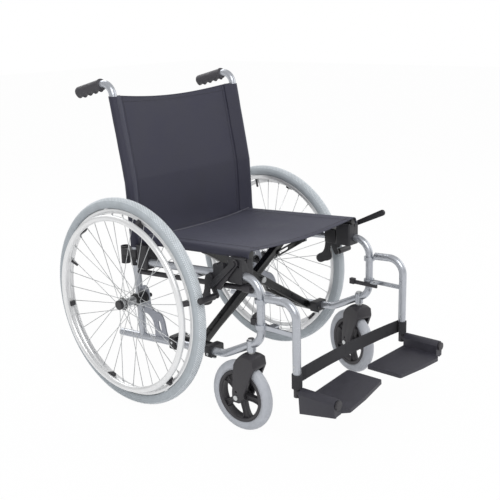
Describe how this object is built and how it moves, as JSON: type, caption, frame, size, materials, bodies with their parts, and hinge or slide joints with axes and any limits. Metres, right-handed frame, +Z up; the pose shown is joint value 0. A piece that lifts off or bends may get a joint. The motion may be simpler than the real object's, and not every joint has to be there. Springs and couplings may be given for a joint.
{
  "type": "wheelchair",
  "caption": "Folding manual wheelchair with tubular side frames, a cross brace, sling seat and back, spoked wheels with hand rims, castors, brakes and swing-away footrests.",
  "frame": {"origin": "middle of the bounding box's base, on the floor", "axes": "-Y is the chair's front, +X is the occupant's left, +Z is up; the rear axle runs along X"},
  "size_m": [0.716, 1.0108, 0.9304],
  "materials": {
    "frame_paint": "satin",
    "black_plastic": "matt",
    "bright_metal": "polished",
    "steel": "satin",
    "black_metal": "satin",
    "wheel_tyre": "matt",
    "castor_rubber": "matt",
    "grip_rubber": "matt",
    "cloth": "matt",
    "webbing": "matt",
    "plate_plastic": "matt"
  },
  "bodies": {
    "right_frame": {"right_side_frame": "frame_paint", "right_rear_post": "frame_paint", "right_back_cane": "frame_paint", "right_grip": "grip_rubber", "right_armrest_socket": "black_plastic", "right_seat_cradles": "black_plastic", "right_brace_brackets": "black_plastic", "right_axle_receiver": "black_plastic", "right_brake_bracket": "black_metal", "right_side_rail": "black_metal", "back_sling": "cloth"},
    "right_wheel": {"right_tyre": "wheel_tyre", "right_rim": "bright_metal", "right_hand_rim": "bright_metal", "right_spoked_hub": "steel"},
    "right_button": {"right_axle_button": "black_plastic"},
    "right_fork": {"right_castor_fork": "black_plastic", "right_castor_bolts": "steel"},
    "right_castor": {"right_castor_tyre": "castor_rubber", "right_castor_wheel": "black_plastic"},
    "right_lever": {"right_brake_lever": "black_metal"},
    "right_handle": {"right_brake_handle": "black_plastic"},
    "right_shoe": {"right_brake_shoe": "black_metal"},
    "right_footrest": {"right_hanger": "frame_paint", "right_foot_tube": "black_metal", "right_calf_strap": "webbing"},
    "right_foot_plate": {"right_footplate": "plate_plastic"},
    "right_release": {"right_release_lever": "black_plastic"},
    "right_brace_stay": {"right_stay": "black_metal"},
    "brace_a": {"brace_to_left_rail": "black_metal", "centre_bolt": "steel", "seat_sling": "cloth"},
    "brace_b": {"brace_to_right_rail": "black_metal"},
    "left_frame": {"left_side_frame": "frame_paint", "left_rear_post": "frame_paint", "left_back_cane": "frame_paint", "left_grip": "grip_rubber", "left_armrest_socket": "black_plastic", "left_seat_cradles": "black_plastic", "left_brace_brackets": "black_plastic", "left_axle_receiver": "black_plastic", "left_brake_bracket": "black_metal"},
    "left_wheel": {"left_tyre": "wheel_tyre", "left_rim": "bright_metal", "left_hand_rim": "bright_metal", "left_spoked_hub": "steel"},
    "left_button": {"left_axle_button": "black_plastic"},
    "left_fork": {"left_castor_fork": "black_plastic", "left_castor_bolts": "steel"},
    "left_castor": {"left_castor_tyre": "castor_rubber", "left_castor_wheel": "black_plastic"},
    "left_lever": {"left_brake_lever": "black_metal"},
    "left_handle": {"left_brake_handle": "black_plastic"},
    "left_shoe": {"left_brake_shoe": "black_metal"},
    "left_footrest": {"left_hanger": "frame_paint", "left_foot_tube": "black_metal", "left_calf_strap": "webbing"},
    "left_foot_plate": {"left_footplate": "plate_plastic"},
    "left_release": {"left_release_lever": "black_plastic"},
    "left_brace_stay": {"left_stay": "black_metal"}
  },
  "joints": [
    {"name": "fold", "type": "hinge", "parent": "right_frame", "child": "brace_a", "pos_m": [-0.226, 0.0005, 0.198], "axis": [0, -1, 0], "range_deg": [0, 40], "deforming": ["seat_sling", "back_sling", "right_calf_strap", "left_calf_strap"]},
    {"name": "cross", "type": "hinge", "parent": "brace_a", "child": "brace_b", "pos_m": [0, -0.0145, 0.339], "axis": [0, -1, 0], "range_deg": [-80, 0]},
    {"name": "left_fold", "type": "hinge", "parent": "brace_b", "child": "left_frame", "pos_m": [0.226, -0.0295, 0.198], "axis": [0, -1, 0], "range_deg": [0, 40]},
    {"name": "right_wheel_spin", "type": "hinge", "parent": "right_frame", "child": "right_wheel", "pos_m": [-0.318, 0.2005, 0.305], "axis": [1, 0, 0], "continuous": true},
    {"name": "right_button_press", "type": "slide", "parent": "right_frame", "child": "right_button", "axis": [1, 0, 0], "range_m": [0, 0.003], "stiffness_N_per_m": 800},
    {"name": "right_swivel", "type": "hinge", "parent": "right_frame", "child": "right_fork", "pos_m": [-0.251, -0.2105, 0.25], "axis": [0, 0, 1], "continuous": true},
    {"name": "right_castor_spin", "type": "hinge", "parent": "right_fork", "child": "right_castor", "pos_m": [-0.25192, -0.17551, 0.1], "axis": [0.9997, 0.0262, 0], "continuous": true},
    {"name": "right_brake", "type": "hinge", "parent": "right_frame", "child": "right_lever", "pos_m": [-0.272, -0.1175, 0.404], "axis": [-1, 0, 0], "range_deg": [0, 60]},
    {"name": "right_shoe_press", "type": "hinge", "parent": "right_frame", "child": "right_shoe", "pos_m": [-0.272, -0.0855, 0.42], "axis": [1, 0, 0], "range_deg": [0, 5]},
    {"name": "right_footrest_swing", "type": "hinge", "parent": "right_frame", "child": "right_footrest", "pos_m": [-0.251, -0.2465, 0.35], "axis": [0, 0, -1], "range_deg": [0, 90]},
    {"name": "right_plate_fold", "type": "hinge", "parent": "right_footrest", "child": "right_foot_plate", "pos_m": [-0.251, -0.4345, 0.16], "axis": [0, -1, 0], "range_deg": [0, 80]},
    {"name": "right_release_press", "type": "hinge", "parent": "right_footrest", "child": "right_release", "pos_m": [-0.231, -0.2775, 0.31], "axis": [0, 0, -1], "range_deg": [0, 12], "stiffness_Nm_per_rad": 0.5},
    {"name": "right_handle_fold", "type": "hinge", "parent": "right_lever", "child": "right_handle", "pos_m": [-0.2785, -0.1765, 0.474], "axis": [1, 0, 0], "range_deg": [0, 196.6]},
    {"name": "right_stay_turn", "type": "hinge", "parent": "right_frame", "child": "right_brace_stay", "pos_m": [-0.232, -0.016, 0.41208], "axis": [0, 1, 0], "range_deg": [0, 80]},
    {"name": "left_wheel_spin", "type": "hinge", "parent": "left_frame", "child": "left_wheel", "pos_m": [0.318, 0.2005, 0.305], "axis": [1, 0, 0], "continuous": true},
    {"name": "left_button_press", "type": "slide", "parent": "left_frame", "child": "left_button", "axis": [-1, 0, 0], "range_m": [0, 0.003], "stiffness_N_per_m": 800},
    {"name": "left_swivel", "type": "hinge", "parent": "left_frame", "child": "left_fork", "pos_m": [0.251, -0.2105, 0.25], "axis": [0, 0, 1], "continuous": true},
    {"name": "left_castor_spin", "type": "hinge", "parent": "left_fork", "child": "left_castor", "pos_m": [0.26112, -0.17699, 0.1], "axis": [0.9573, -0.289, 0], "continuous": true},
    {"name": "left_brake", "type": "hinge", "parent": "left_frame", "child": "left_lever", "pos_m": [0.272, -0.1175, 0.404], "axis": [-1, 0, 0], "range_deg": [0, 60]},
    {"name": "left_shoe_press", "type": "hinge", "parent": "left_frame", "child": "left_shoe", "pos_m": [0.272, -0.0855, 0.42], "axis": [1, 0, 0], "range_deg": [0, 5]},
    {"name": "left_footrest_swing", "type": "hinge", "parent": "left_frame", "child": "left_footrest", "pos_m": [0.251, -0.2465, 0.35], "axis": [0, 0, 1], "range_deg": [0, 90]},
    {"name": "left_plate_fold", "type": "hinge", "parent": "left_footrest", "child": "left_foot_plate", "pos_m": [0.251, -0.4345, 0.16], "axis": [0, 1, 0], "range_deg": [0, 80]},
    {"name": "left_release_press", "type": "hinge", "parent": "left_footrest", "child": "left_release", "pos_m": [0.231, -0.2775, 0.31], "axis": [0, 0, 1], "range_deg": [0, 12], "stiffness_Nm_per_rad": 0.5},
    {"name": "left_handle_fold", "type": "hinge", "parent": "left_lever", "child": "left_handle", "pos_m": [0.2785, -0.1765, 0.474], "axis": [-1, 0, 0], "range_deg": [0, 196.6]},
    {"name": "left_stay_turn", "type": "hinge", "parent": "left_frame", "child": "left_brace_stay", "pos_m": [0.232, -0.013, 0.4119], "axis": [0, -1, 0], "range_deg": [0, 80]}
  ],
  "couplings": [
    {"joint": "cross", "follows": "fold", "ratio": -2},
    {"joint": "left_fold", "follows": "fold", "ratio": 1},
    {"joint": "right_shoe_press", "follows": "right_brake", "ratio": 0.083333},
    {"joint": "right_plate_fold", "follows": "fold", "ratio": 2},
    {"joint": "right_stay_turn", "follows": "fold", "ratio": 1.95},
    {"joint": "left_shoe_press", "follows": "left_brake", "ratio": 0.083333},
    {"joint": "left_plate_fold", "follows": "fold", "ratio": 2},
    {"joint": "left_stay_turn", "follows": "fold", "ratio": 1.95}
  ]
}
